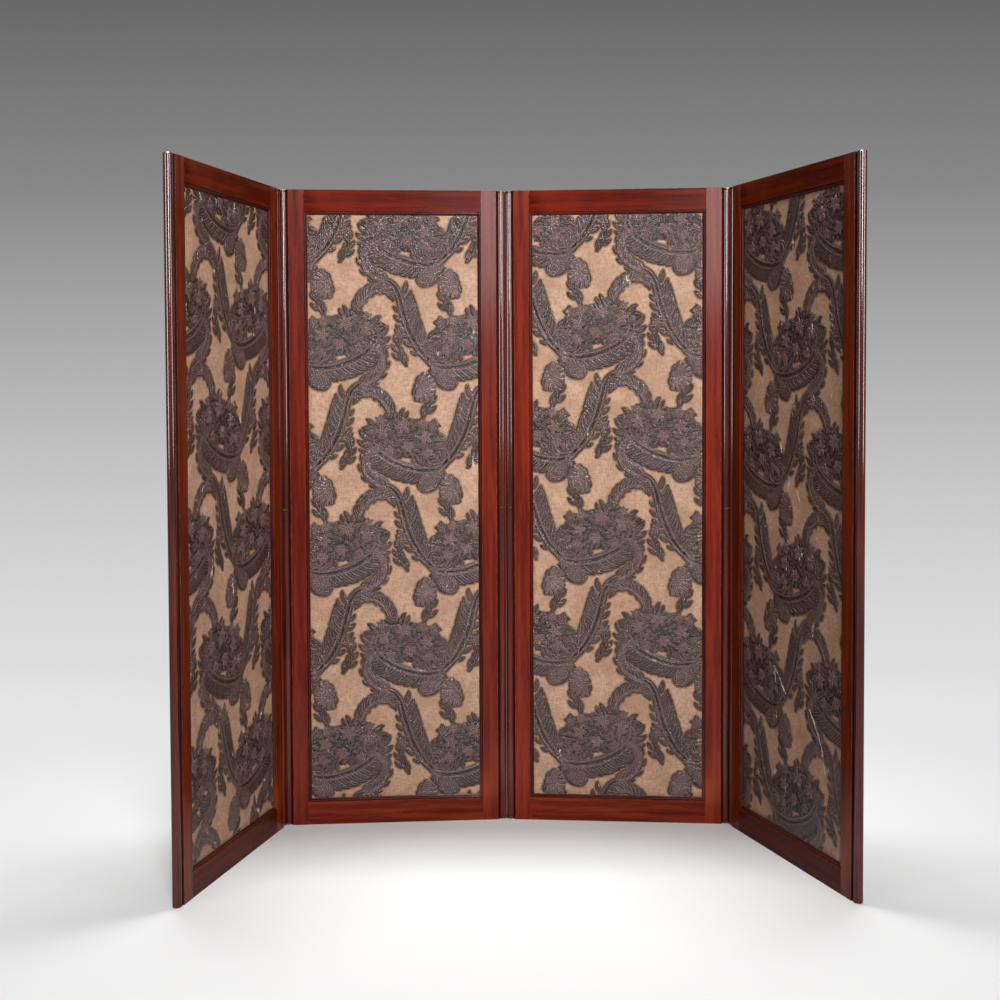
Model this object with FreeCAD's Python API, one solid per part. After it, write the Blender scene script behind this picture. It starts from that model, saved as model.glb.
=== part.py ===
"""A four-leaf folding screen: mahogany frames, embossed paper panels and double-acting link hinges.

Millimetres, +Z up. The origin is on the floor, at the centre of the standing screen's outline. The front,
the embossed side, faces -Y. Each leaf is modelled in its own frame and then stood in its place:
x runs from the leaf's left pivot line to its right one, the front face is towards -y, z is up.
"""
import FreeCAD, Part
import math
import os
from FreeCAD import Placement, Rotation, Vector

# Leaf frame
LEAF_HEIGHT = 1727.0
LEAF_WIDTH = 610.0          # over the two beads
LEAF_THICKNESS = 22.0
STILE_FACE = 41.0           # flat face of a stile, from quirk to panel opening
TOP_RAIL_HEIGHT = 58.0
BOTTOM_RAIL_HEIGHT = 62.0
ARRIS = 0.6                 # rounding of the frame's worked edges

# Mortise and tenon joints
TENON_LENGTH = 28.0
TENON_THICKNESS = 7.0
TENON_SHOULDER = 10.0       # set in from the rail's top and bottom edges
MORTISE_END_GAP = 1.0

# Edge beads
BEAD_DIAMETER = 22.0
QUIRK_WIDTH = 3.0           # from the bead's side to the stile's face
BEAD_SEAT_HALF_ANGLE = 36.0
GLUE_LINE = 0.1             # between a bead and the hollow it is glued in
BEAD_END_CHAMFER = 0.8

# Panel
BOARD_THICKNESS = 6.0
BOARD_EDGE_GAP = 0.5
PAPER_THICKNESS = 1.2
LINING_THICKNESS = 1.0

# Slips: mitred mouldings with a bead and a hollow
SLIP_WIDTH = 9.5
SLIP_SETBACK = 1.5          # top of the slip's bead, below the frame's face
SLIP_QUIRK = 0.6
SLIP_BEAD_DIAMETER = 5.4
SLIP_TOE = 0.8              # thickness at the panel's edge of sight
SLIP_HOLLOW_DEPTH = 0.4

# Link hinges
FOLD_GAP = 0.3              # between the faces of two leaves folded together, and between their beads
LINK_THICKNESS = 5.0
LINK_INSET = 0.5            # disc edge, in from the bead's surface
LINK_WAIST = 11.0
LINK_EDGE_CHAMFER = 0.5
LINK_END_PLAY = 0.3         # between a link and the bead ends
TOP_LINK_DROP = 0.5         # below the top of the leaf
FLOOR_CLEARANCE = 1.5       # under the bottom links

# Pivots
PIVOT_DIAMETER = 5.0
PIVOT_HEAD_DIAMETER = 9.4
PIVOT_DEPTH = 30.0          # length held in a bead
PIVOT_CLEARANCE = 0.05      # radial, in the links and in the bores
SLOT_WIDTH = 1.0
SLOT_DEPTH = 1.0

# Standing angles: how far each fold line is folded to the front, in degrees
FOLD_12 = 71.0
FOLD_23 = 9.0
FOLD_34 = 66.0

# Places that follow from those sizes
bead_radius = BEAD_DIAMETER / 2
half_thickness = LEAF_THICKNESS / 2
pivot_span = LEAF_WIDTH - BEAD_DIAMETER
link_span = max(LEAF_THICKNESS, BEAD_DIAMETER) + FOLD_GAP
face_start = bead_radius + QUIRK_WIDTH
opening_left = face_start + STILE_FACE
opening_right = pivot_span - opening_left
opening_bottom = BOTTOM_RAIL_HEIGHT
opening_top = LEAF_HEIGHT - TOP_RAIL_HEIGHT
board_half = BOARD_THICKNESS / 2
middle_link_base = (LEAF_HEIGHT - LINK_THICKNESS) / 2
top_link_base = LEAF_HEIGHT - TOP_LINK_DROP - LINK_THICKNESS
link_radius = bead_radius - LINK_INSET
pivot_radius = PIVOT_DIAMETER / 2
bore_radius = pivot_radius + PIVOT_CLEARANCE
head_radius = PIVOT_HEAD_DIAMETER / 2
head_height = head_radius - pivot_radius

# Which edges of each leaf carry hinges
HINGED_EDGES = {1: ("right",), 2: ("left", "right"), 3: ("left", "right"), 4: ("left",)}


def block(x, y, z):
    """Box from three (low, high) pairs."""
    return Part.makeBox(x[1] - x[0], y[1] - y[0], z[1] - z[0], Vector(x[0], y[0], z[0]))


def rod(radius, low, high):
    """Upright cylinder on the z axis."""
    return Part.makeCylinder(radius, high - low, Vector(0, 0, low))


def edges_along(shape, direction, keep):
    """Straight edges that run along a direction and pass a test on their middle point."""
    found = []
    for edge in shape.Edges:
        run = edge.Vertexes[-1].Point - edge.Vertexes[0].Point
        along = run.Length > 0 and abs(run.normalize().dot(direction)) > 0.999
        if along and keep(edge.CenterOfMass):
            found.append(edge)
    return found


def left_stile():
    """Upright with a hollow edge for the bead, a sloped quirk on each face and two mortises."""
    seat_radius = bead_radius + GLUE_LINE
    angle = math.radians(BEAD_SEAT_HALF_ANGLE)
    lip_x = seat_radius * math.cos(angle)
    lip_y = seat_radius * math.sin(angle)
    inner_front = Vector(opening_left, -half_thickness, 0)
    inner_back = Vector(opening_left, half_thickness, 0)
    face_front = Vector(face_start, -half_thickness, 0)
    face_back = Vector(face_start, half_thickness, 0)
    lip_front = Vector(lip_x, -lip_y, 0)
    lip_back = Vector(lip_x, lip_y, 0)
    hollow = Part.Arc(lip_back, Vector(seat_radius, 0, 0), lip_front).toShape()
    outline = Part.Wire([
        Part.makeLine(inner_front, inner_back),
        Part.makeLine(inner_back, face_back),
        Part.makeLine(face_back, lip_back),
        hollow,
        Part.makeLine(lip_front, face_front),
        Part.makeLine(face_front, inner_front),
    ])
    stile = Part.Face(outline).extrude(Vector(0, 0, LEAF_HEIGHT))
    worked = edges_along(stile, Vector(0, 0, 1), lambda p: abs(p.y) > half_thickness - ARRIS)
    stile = stile.makeFillet(ARRIS, worked)
    depth = TENON_LENGTH + MORTISE_END_GAP
    for low, high in tenon_heights():
        mortise = block((opening_left - depth, opening_left), tenon_sides(), (low, high))
        stile = stile.cut(mortise)
    return stile


def tenon_sides():
    """The tenons' low and high y."""
    return (-TENON_THICKNESS / 2, TENON_THICKNESS / 2)


def tenon_heights():
    """Low and high z of the bottom and the top rail's tenons."""
    bottom = (TENON_SHOULDER, BOTTOM_RAIL_HEIGHT - TENON_SHOULDER)
    top = (opening_top + TENON_SHOULDER, LEAF_HEIGHT - TENON_SHOULDER)
    return bottom, top


def rail(low, high, tenon):
    """Cross piece between the stiles, with a tenon at each end."""
    faces = (-half_thickness, half_thickness)
    body = block((opening_left, opening_right), faces, (low, high))
    worked = edges_along(body, Vector(1, 0, 0), lambda p: True)
    body = body.makeFillet(ARRIS, worked)
    tongue = block((opening_left - TENON_LENGTH, opening_right + TENON_LENGTH), tenon_sides(), tenon)
    return body.fuse(tongue).removeSplitter()


def mirrored(shape):
    """The same piece for the leaf's other edge."""
    return shape.mirror(Vector(pivot_span / 2, 0, 0), Vector(1, 0, 0))


def ease_ends(bead):
    """Takes the sharpness off the two end edges of a bead."""
    ends = [edge for edge in bead.Edges if edge.Curve.TypeId == "Part::GeomCircle"]
    return bead.makeChamfer(BEAD_END_CHAMFER, ends)


def bead_lengths(hinged):
    """The round rods on one edge, centred on the z axis, bored for their pivots where they are hinged."""
    if not hinged:
        return [ease_ends(rod(bead_radius, 0, LEAF_HEIGHT))]
    lower_ends = (FLOOR_CLEARANCE + LINK_THICKNESS + LINK_END_PLAY, middle_link_base - LINK_END_PLAY)
    upper_ends = (middle_link_base + LINK_THICKNESS + LINK_END_PLAY, top_link_base - LINK_END_PLAY)
    lengths = []
    for low, high in (lower_ends, upper_ends):
        bead = ease_ends(rod(bead_radius, low, high))
        bead = bead.cut(rod(bore_radius, low, low + PIVOT_DEPTH))
        bead = bead.cut(rod(bore_radius, high - PIVOT_DEPTH, high))
        lengths.append(bead)
    return lengths


def countersunk_screw():
    """Pivot screw with its slotted head upwards, the head's top at z 0."""
    length = LINK_THICKNESS + LINK_END_PLAY + PIVOT_DEPTH
    head = Part.makeCone(pivot_radius, head_radius, head_height, Vector(0, 0, -head_height))
    screw = head.fuse(rod(pivot_radius, -length, -head_height)).removeSplitter()
    slot = block((-head_radius, head_radius), (-SLOT_WIDTH / 2, SLOT_WIDTH / 2), (-SLOT_DEPTH, 0))
    return screw.cut(slot)


def pivots():
    """Screw at the top, plain pin at the middle and screw at the bottom, all on the z axis."""
    top = countersunk_screw()
    top.translate(Vector(0, 0, top_link_base + LINK_THICKNESS))
    bottom = countersunk_screw()
    bottom.rotate(Vector(0, 0, 0), Vector(1, 0, 0), 180)
    bottom.translate(Vector(0, 0, FLOOR_CLEARANCE))
    reach = LINK_END_PLAY + PIVOT_DEPTH
    middle = rod(pivot_radius, middle_link_base - reach, middle_link_base + LINK_THICKNESS + reach)
    return [bottom, middle, top]


def link(countersink):
    """Figure-of-eight plate along x, centred on the origin, with its underside at z 0."""
    reach = link_span / 2
    waist = LINK_WAIST / 2
    # The waist's arc touches both discs, so its centre is its radius away from the waist.
    arc_radius = (reach ** 2 + waist ** 2 - link_radius ** 2) / (2 * (link_radius - waist))
    centre_y = waist + arc_radius
    touch_share = link_radius / (link_radius + arc_radius)
    touch_x = reach * (1 - touch_share)
    touch_y = centre_y * touch_share
    right_top = Vector(touch_x, touch_y, 0)
    right_low = Vector(touch_x, -touch_y, 0)
    left_top = Vector(-touch_x, touch_y, 0)
    left_low = Vector(-touch_x, -touch_y, 0)
    outline = Part.Wire([
        Part.Arc(right_low, Vector(reach + link_radius, 0, 0), right_top).toShape(),
        Part.Arc(right_top, Vector(0, waist, 0), left_top).toShape(),
        Part.Arc(left_top, Vector(-reach - link_radius, 0, 0), left_low).toShape(),
        Part.Arc(left_low, Vector(0, -waist, 0), right_low).toShape(),
    ])
    plate = Part.Face(outline).extrude(Vector(0, 0, LINK_THICKNESS))
    rims = [edge for edge in plate.Edges if abs(edge.Vertexes[0].Z - edge.Vertexes[-1].Z) < 1e-6]
    plate = plate.makeChamfer(LINK_EDGE_CHAMFER, rims)
    for x in (-reach, reach):
        bore = rod(bore_radius, 0, LINK_THICKNESS)
        if countersink:
            base = Vector(0, 0, LINK_THICKNESS - head_height)
            bore = bore.fuse(Part.makeCone(bore_radius, head_radius + PIVOT_CLEARANCE, head_height, base))
        bore.translate(Vector(x, 0, 0))
        plate = plate.cut(bore)
    return plate


def slip_profile(depth):
    """Moulding section: x from the frame's edge over the panel, y up from the panel. Bead, then hollow."""
    radius = SLIP_BEAD_DIAMETER / 2
    spring = depth - radius
    bead_start = Vector(SLIP_QUIRK, spring, 0)
    bead_top = Vector(SLIP_QUIRK + radius, depth, 0)
    bead_end = Vector(SLIP_QUIRK + SLIP_BEAD_DIAMETER, spring, 0)
    toe_top = Vector(SLIP_WIDTH, SLIP_TOE, 0)
    chord = toe_top - bead_end
    sag = Vector(chord.y, -chord.x, 0).normalize() * SLIP_HOLLOW_DEPTH
    hollow_middle = (bead_end + toe_top) * 0.5 + sag
    return Part.Face(Part.Wire([
        Part.makeLine(Vector(0, 0, 0), Vector(SLIP_WIDTH, 0, 0)),
        Part.makeLine(Vector(SLIP_WIDTH, 0, 0), toe_top),
        Part.Arc(toe_top, hollow_middle, bead_end).toShape(),
        Part.Arc(bead_end, bead_top, bead_start).toShape(),
        Part.makeLine(bead_start, Vector(0, spring, 0)),
        Part.makeLine(Vector(0, spring, 0), Vector(0, 0, 0)),
    ]))


def slip(length, depth):
    """One mitred slip along z from 0, its back on the frame at x 0, standing up from the panel in -y."""
    bar = slip_profile(depth).extrude(Vector(0, 0, length))
    bar = bar.mirror(Vector(0, 0, 0), Vector(0, 1, 0))
    corners = [
        Vector(0, -depth, 0),
        Vector(SLIP_WIDTH, -depth, SLIP_WIDTH),
        Vector(SLIP_WIDTH, -depth, length - SLIP_WIDTH),
        Vector(0, -depth, length),
    ]
    mitre = Part.Face(Part.makePolygon(corners + corners[:1])).extrude(Vector(0, depth, 0))
    return bar.common(mitre)


def front_slips(base):
    """Four slips round the opening, on a panel whose front surface is at y -base."""
    depth = half_thickness - SLIP_SETBACK - base
    width = opening_right - opening_left
    height = opening_top - opening_bottom
    left = slip(height, depth)
    left.translate(Vector(opening_left, -base, opening_bottom))
    right = mirrored(left)
    lower = slip(width, depth)
    lower.rotate(Vector(0, 0, 0), Vector(0, 1, 0), 90)
    upper = lower.copy()
    lower = lower.mirror(Vector(0, 0, 0), Vector(0, 0, 1))
    lower.translate(Vector(opening_left, -base, opening_bottom))
    upper.translate(Vector(opening_left, -base, opening_top))
    return [left, right, lower, upper]


def back_slips(base):
    """The same four, turned to the back."""
    return [piece.mirror(Vector(0, 0, 0), Vector(0, 1, 0)) for piece in front_slips(base)]


def panel_layer(front, back):
    """A sheet as large as the backing board, between two depths."""
    x = (opening_left + BOARD_EDGE_GAP, opening_right - BOARD_EDGE_GAP)
    z = (opening_bottom + BOARD_EDGE_GAP, opening_top - BOARD_EDGE_GAP)
    return block(x, (front, back), z)


def leaf_pieces(number):
    """Every piece of one leaf, in the leaf's own frame: node name to its solids."""
    bottom_tenon, top_tenon = tenon_heights()
    paper_front = board_half + PAPER_THICKNESS
    lining_back = board_half + LINING_THICKNESS
    hinged = HINGED_EDGES[number]
    stile = left_stile()
    pieces = {
        "left_stile": [stile],
        "right_stile": [mirrored(stile)],
        "bottom_rail": [rail(0, BOTTOM_RAIL_HEIGHT, bottom_tenon)],
        "top_rail": [rail(opening_top, LEAF_HEIGHT, top_tenon)],
        "backing_board": [panel_layer(-board_half, board_half)],
        "embossed_paper": [panel_layer(-paper_front, -board_half)],
        "back_lining": [panel_layer(board_half, lining_back)],
        "front_slips": front_slips(paper_front),
        "back_slips": back_slips(lining_back),
    }
    for edge, x in (("left", 0.0), ("right", pivot_span)):
        pieces[edge + "_bead"] = bead_lengths(edge in hinged)
        if edge in hinged:
            pieces[edge + "_pivots"] = pivots()
        for name in (edge + "_bead", edge + "_pivots"):
            for solid in pieces.get(name, []):
                solid.translate(Vector(x, 0, 0))
    return {"leaf_%d_%s" % (number, name): solids for name, solids in pieces.items()}


def fold_line_links():
    """Bottom, middle and top link of one fold line, centred between its two pivots."""
    bottom = link(True)
    bottom.rotate(Vector(0, 0, LINK_THICKNESS / 2), Vector(1, 0, 0), 180)
    bottom.translate(Vector(0, 0, FLOOR_CLEARANCE))
    middle = link(False)
    middle.translate(Vector(0, 0, middle_link_base))
    top = link(True)
    top.translate(Vector(0, 0, top_link_base))
    return [bottom, middle, top]


def heading(angle):
    """Unit vector in plan, from an angle in degrees."""
    return Vector(math.cos(math.radians(angle)), math.sin(math.radians(angle)), 0)


def standing_places():
    """Where the leaves and the fold lines' links stand: name to (point, turn in degrees)."""
    turn_2 = FOLD_23 / 2
    turn_1 = turn_2 + FOLD_12
    turn_3 = -FOLD_23 / 2
    turn_4 = turn_3 - FOLD_34
    link_12 = turn_2 + FOLD_12 / 2
    link_34 = turn_3 - FOLD_34 / 2
    left_2 = Vector(-link_span / 2, 0, 0) - heading(turn_2) * pivot_span
    left_3 = Vector(link_span / 2, 0, 0)
    right_1 = left_2 - heading(link_12) * link_span
    left_1 = right_1 - heading(turn_1) * pivot_span
    right_3 = left_3 + heading(turn_3) * pivot_span
    left_4 = right_3 + heading(link_34) * link_span
    right_4 = left_4 + heading(turn_4) * pivot_span
    reach = max(LEAF_THICKNESS, BEAD_DIAMETER) / 2
    ends = [left_1, right_1, left_2, left_3, right_3, left_4, right_4, Vector(0, 0, 0)]
    low_x = min(p.x for p in ends) - reach
    high_x = max(p.x for p in ends) + reach
    low_y = min(p.y for p in ends) - reach
    high_y = max(p.y for p in ends) + reach
    centre = Vector((low_x + high_x) / 2, (low_y + high_y) / 2, 0)
    places = {
        1: (left_1, turn_1), 2: (left_2, turn_2), 3: (left_3, turn_3), 4: (left_4, turn_4),
        "12": ((right_1 + left_2) * 0.5, link_12),
        "23": (Vector(0, 0, 0), 0.0),
        "34": ((right_3 + left_4) * 0.5, link_34),
    }
    return {name: (point - centre, turn) for name, (point, turn) in places.items()}


def stood(solids, place):
    """The solids turned and moved to their place in the standing screen."""
    point, turn = place
    placement = Placement(point, Rotation(Vector(0, 0, 1), turn))
    moved = []
    for solid in solids:
        copy = solid.copy()
        copy.Placement = placement.multiply(copy.Placement)
        moved.append(copy)
    return moved


def save(name, solids):
    """Writes one node's file."""
    shape = solids[0] if len(solids) == 1 else Part.makeCompound(solids)
    shape.exportStep(os.path.join("parts", name + ".step"))


os.makedirs("parts", exist_ok=True)
places = standing_places()
for number in HINGED_EDGES:
    for name, solids in leaf_pieces(number).items():
        save(name, stood(solids, places[number]))
for fold_line in ("12", "23", "34"):
    save("link_plates_" + fold_line, stood(fold_line_links(), places[fold_line]))
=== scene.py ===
"""A four-leaf folding screen: mahogany frames, embossed paper panels and brass link hinges.

Metres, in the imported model's own frame. The embossed side faces -Y.
"""
import math
import random
import bpy
import numpy
from mathutils import Matrix, Vector


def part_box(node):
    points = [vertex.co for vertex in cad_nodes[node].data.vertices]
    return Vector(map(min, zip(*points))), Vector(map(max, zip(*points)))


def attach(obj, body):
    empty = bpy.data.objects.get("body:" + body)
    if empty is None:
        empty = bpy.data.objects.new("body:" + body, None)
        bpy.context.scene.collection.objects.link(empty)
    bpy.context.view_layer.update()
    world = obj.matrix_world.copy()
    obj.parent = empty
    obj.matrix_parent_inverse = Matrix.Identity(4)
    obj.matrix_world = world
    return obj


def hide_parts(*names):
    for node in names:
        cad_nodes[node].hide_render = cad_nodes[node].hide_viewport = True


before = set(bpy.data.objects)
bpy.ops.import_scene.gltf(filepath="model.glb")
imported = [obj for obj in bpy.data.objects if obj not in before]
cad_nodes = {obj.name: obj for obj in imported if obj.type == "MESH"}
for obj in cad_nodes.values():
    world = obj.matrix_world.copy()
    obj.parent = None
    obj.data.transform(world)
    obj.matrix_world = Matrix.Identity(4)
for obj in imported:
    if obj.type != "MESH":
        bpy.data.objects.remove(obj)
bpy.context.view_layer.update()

# Standing leaves
# The screen is four frames, each between two round beads and stood at its own angle. The bead axes
# give every leaf its own measure: x from the left axis to the right one, the embossed side towards -y.
LEAVES = (1, 2, 3, 4)
AXIS_SPAN = 0.588
leaf_place = {}
leaf_turn = {}


def middle_of(node):
    """The middle of a CAD piece's box."""
    low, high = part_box(node)
    return (Vector(low) + Vector(high)) / 2


for leaf in LEAVES:
    left_axis = middle_of("leaf_%d_left_bead" % leaf)
    across = middle_of("leaf_%d_right_bead" % leaf) - left_axis
    leaf_turn[leaf] = math.atan2(across.y, across.x)
    corner = Matrix.Translation((left_axis.x, left_axis.y, 0.0))
    leaf_place[leaf] = corner @ Matrix.Rotation(leaf_turn[leaf], 4, "Z")

# Stiles and rails
# Solid mahogany, mortised and tenoned, stained red-brown and French polished. The polish has gone
# thin on the arrises. The quirks beside the beads are painted nearly black, partly for old wax and dust
# and partly as painted shade.
STILE_FACE = (0.014, 0.055)
FRAME_HALF_THICKNESS = 0.011
RAIL_EDGES = (0.0, 0.062, 1.669, 1.727)
FACE_REACH = (FRAME_HALF_THICKNESS - 0.0014, FRAME_HALF_THICKNESS - 0.0004)
RAIL_START = (STILE_FACE[1] - 0.0005, STILE_FACE[1] + 0.0005)
QUIRK_REACH = (STILE_FACE[0] - 0.0001, STILE_FACE[0] - 0.0016)
RUB_REACH = (0.0022, 0.0004)
RUBBED_SHARE = 0.25
QUIRK_DIRT_AND_SHADE_SHARE = 0.93
RUBBED_TONE = (0.42, 0.16, 0.09, 1.0)
QUIRK_DIRT_AND_SHADE_TONE = (0.008, 0.003, 0.003, 1.0)
PORE_TONE = (0.02, 0.004, 0.003, 1.0)
GRAIN_STRETCH = (1.0, 1.0, 0.045)
RIBBON_SCALE = 70.0
LINE_SCALE = 520.0
PORE_SCALE = 1900.0
PATCH_SCALE = 3.1
WEAR_SCALE = 26.0
RUB_SCALE = 60.0


def feed(tree, node, inputs):
    """Gives each input a number, a colour or another node's output."""
    for name, value in inputs.items():
        if isinstance(value, bpy.types.NodeSocket):
            tree.links.new(value, node.inputs[name])
        else:
            node.inputs[name].default_value = value


def put(tree, kind, inputs=None, **settings):
    """Adds a node with its settings and inputs."""
    node = tree.nodes.new(kind)
    for name, value in settings.items():
        setattr(node, name, value)
    feed(tree, node, inputs or {})
    return node


def sum_of(tree, kind, first, second=0.0, third=0.0):
    """One step of arithmetic."""
    return put(tree, "ShaderNodeMath", {0: first, 1: second, 2: third}, operation=kind).outputs[0]


def times(tree, first, second):
    """One value times another."""
    return sum_of(tree, "MULTIPLY", first, second)


def scaled(tree, value, share, start):
    """A value times a share, on top of a start."""
    return sum_of(tree, "MULTIPLY_ADD", value, share, start)


def ease(tree, value, low, high):
    """0 below low, 1 above high, smooth between. Runs downwards where low is the larger."""
    node = put(tree, "ShaderNodeMapRange", {"Value": value, "From Min": low, "From Max": high},
               interpolation_type="SMOOTHSTEP")
    return node.outputs[0]


def blend_colours(tree, share, first, second):
    """Colour between two, by a share from 0 to 1."""
    return put(tree, "ShaderNodeMix", {0: share, 6: first, 7: second}, data_type="RGBA").outputs[2]


def noise(tree, vector, scale, detail=3.0, rough=0.55):
    """Cloudy pattern, about 0.5 on average."""
    node = put(tree, "ShaderNodeTexNoise", {"Vector": vector, "Scale": scale, "Detail": detail,
                                            "Roughness": rough})
    return node.outputs[0]


def object_place(tree):
    """Coordinates in the whole screen's frame."""
    return put(tree, "ShaderNodeTexCoord").outputs["Object"]


def mapped(tree, vector, kind="POINT", **how):
    """Coordinates moved, turned or stretched."""
    return put(tree, "ShaderNodeMapping", {"Vector": vector, **how}, vector_type=kind).outputs[0]


def leaf_measure(tree, leaf):
    """Coordinates in one leaf's own place."""
    spot = leaf_place[leaf].translation
    return mapped(tree, object_place(tree), "TEXTURE", Location=(spot.x, spot.y, 0.0),
                  Rotation=(0.0, 0.0, leaf_turn[leaf]))


def parts_of(tree, vector):
    """The x, y and z of coordinates."""
    return put(tree, "ShaderNodeSeparateXYZ", {0: vector}).outputs


def shader_group(name, inputs, outputs):
    """An empty group with named sockets. Returns the group, its input node and its output node."""
    group = bpy.data.node_groups.new(name, "ShaderNodeTree")
    for socket, kind in inputs:
        group.interface.new_socket(socket, in_out="INPUT", socket_type=kind)
    for socket, kind in outputs:
        group.interface.new_socket(socket, in_out="OUTPUT", socket_type=kind)
    return group, group.nodes.new("NodeGroupInput"), group.nodes.new("NodeGroupOutput")


def finish_with(name):
    """A material with only its Principled shader. Returns the material, its nodes and the shader."""
    material = bpy.data.materials.new(name)
    material.use_nodes = True
    tree = material.node_tree
    tree.nodes.clear()
    surface = tree.nodes.new("ShaderNodeBsdfPrincipled")
    output = tree.nodes.new("ShaderNodeOutputMaterial")
    tree.links.new(surface.outputs[0], output.inputs[0])
    return material, tree, surface


def roughen(tree, surface, height, strength, distance):
    """Fine relief in a finish."""
    bump = put(tree, "ShaderNodeBump", {"Height": height, "Strength": strength, "Distance": distance})
    tree.links.new(bump.outputs[0], surface.inputs["Normal"])


def give(material, *names):
    """Puts a finish on CAD pieces."""
    for name in names:
        for place in cad_nodes[name].material_slots:
            place.material = material


# Mahogany seen across its grain, which runs along z of the given vector: broad ribbon figure,
# fine grain lines, short dark pores, and slow changes of tone from piece to piece.
wood_grain, wood_in, wood_out = shader_group(
    "mahogany grain",
    [("Vector", "NodeSocketVector"), ("Deep", "NodeSocketColor"), ("Warm", "NodeSocketColor"),
     ("Faded", "NodeSocketColor")],
    [("Color", "NodeSocketColor"), ("Roughness", "NodeSocketFloat"), ("Height", "NodeSocketFloat")])
tree = wood_grain
where, deep, warm, faded = wood_in.outputs[:4]
along_grain = mapped(tree, where, Scale=GRAIN_STRETCH)
ribbon = noise(tree, along_grain, RIBBON_SCALE, 3.0)
lines = noise(tree, along_grain, LINE_SCALE, 4.0, 0.65)
pores = ease(tree, noise(tree, along_grain, PORE_SCALE, 2.0), 0.60, 0.70)
patches = ease(tree, noise(tree, where, PATCH_SCALE, 2.0), 0.58, 0.84)
polish_wear = noise(tree, where, WEAR_SCALE, 4.0)
figure = scaled(tree, ribbon, 0.62, times(tree, lines, 0.38))
colour = blend_colours(tree, ease(tree, figure, 0.36, 0.66), deep, warm)
colour = blend_colours(tree, patches, colour, faded)
feed(tree, wood_out, {
    "Color": blend_colours(tree, times(tree, pores, 0.45), colour, PORE_TONE),
    "Roughness": scaled(tree, polish_wear, 0.24, 0.20),
    "Height": scaled(tree, pores, -1.0, lines)})

# Where a frame's edges are rubbed pale, and where the quirks are painted dark, partly for dirt and partly
# as painted shade. Measured in the leaf's own place.
frame_edges, edges_in, edges_out = shader_group(
    "frame edges", [("Vector", "NodeSocketVector")],
    [("Rubbed", "NodeSocketFloat"), ("Dirt and shade", "NodeSocketFloat")])
tree = frame_edges
where = edges_in.outputs[0]
right, back, up = parts_of(tree, where)
from_axis = sum_of(tree, "MINIMUM", right, sum_of(tree, "SUBTRACT", AXIS_SPAN, right))
between_stiles = ease(tree, from_axis, *RAIL_START)
rub = 0.0
for edges, place, share in ((STILE_FACE, from_axis, 1.0), (RAIL_EDGES, up, between_stiles)):
    for edge in edges:
        off = sum_of(tree, "ABSOLUTE", sum_of(tree, "SUBTRACT", place, edge))
        band = times(tree, ease(tree, off, *RUB_REACH), share)
        rub = sum_of(tree, "MAXIMUM", band, rub)
on_face = ease(tree, sum_of(tree, "ABSOLUTE", back), *FACE_REACH)
patchy = ease(tree, noise(tree, where, RUB_SCALE, 4.0), 0.42, 0.68)
feed(tree, edges_out, {
    "Rubbed": times(tree, times(tree, rub, on_face), patchy),
    "Dirt and shade": ease(tree, from_axis, *QUIRK_REACH)})


def mahogany_grain(tree, vector, tones):
    """The grain along z of a vector, in a deep, a warm and a faded tone."""
    return put(tree, "ShaderNodeGroup", {"Vector": vector, "Deep": tones[0], "Warm": tones[1],
                                         "Faded": tones[2]}, node_tree=wood_grain).outputs


def polished_mahogany(name, leaf, grain_turn, polish, tones):
    """French-polished frame wood. The grain turn lays the grain up a stile or along a rail."""
    material, tree, surface = finish_with(name)
    place = leaf_measure(tree, leaf)
    grain = mahogany_grain(tree, mapped(tree, place, Rotation=grain_turn), tones)
    edges = put(tree, "ShaderNodeGroup", {"Vector": place}, node_tree=frame_edges).outputs
    rubbed = times(tree, edges["Rubbed"], RUBBED_SHARE)
    colour = blend_colours(tree, rubbed, grain["Color"], RUBBED_TONE)
    # Painted shade and dirt: the quirks beside the beads go nearly black.
    dirt_and_shade = times(tree, edges["Dirt and shade"], QUIRK_DIRT_AND_SHADE_SHARE)
    feed(tree, surface, {
        "Base Color": blend_colours(tree, dirt_and_shade, colour, QUIRK_DIRT_AND_SHADE_TONE),
        "Roughness": scaled(tree, edges["Dirt and shade"], 0.45, grain["Roughness"]),
        "Coat Weight": scaled(tree, edges["Dirt and shade"], -0.95 * polish, polish),
        "Coat Roughness": 0.16,
        "Specular IOR Level": polish / 2})
    roughen(tree, surface, grain["Height"], strength=0.12, distance=0.0004)
    return material


# Painted light and shade in the rail tones: the middle leaves' top rails are the red wood made darker against
# the sheen and light they catch, and their low rails are made lighter where less light reaches the foot.
SHADED_TOP_RAIL_WOOD = ((0.066, 0.0038, 0.0016, 1.0), (0.162, 0.0117, 0.0040, 1.0), (0.215, 0.0246, 0.0096, 1.0))
LIT_LOW_RAIL_WOOD = ((0.096, 0.0105, 0.0055, 1.0), (0.237, 0.0325, 0.0140, 1.0), (0.313, 0.0690, 0.0340, 1.0))
RED_WOOD = ((0.084, 0.0064, 0.0026, 1.0), (0.208, 0.0195, 0.0066, 1.0), (0.275, 0.0410, 0.0160, 1.0))
LIGHT_WOOD = ((0.102, 0.0080, 0.0030, 1.0), (0.254, 0.0245, 0.0078, 1.0), (0.335, 0.0510, 0.0190, 1.0))
BROWN_WOOD = ((0.078, 0.0070, 0.0010, 1.0), (0.200, 0.0220, 0.0020, 1.0), (0.265, 0.0430, 0.0060, 1.0))
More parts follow.
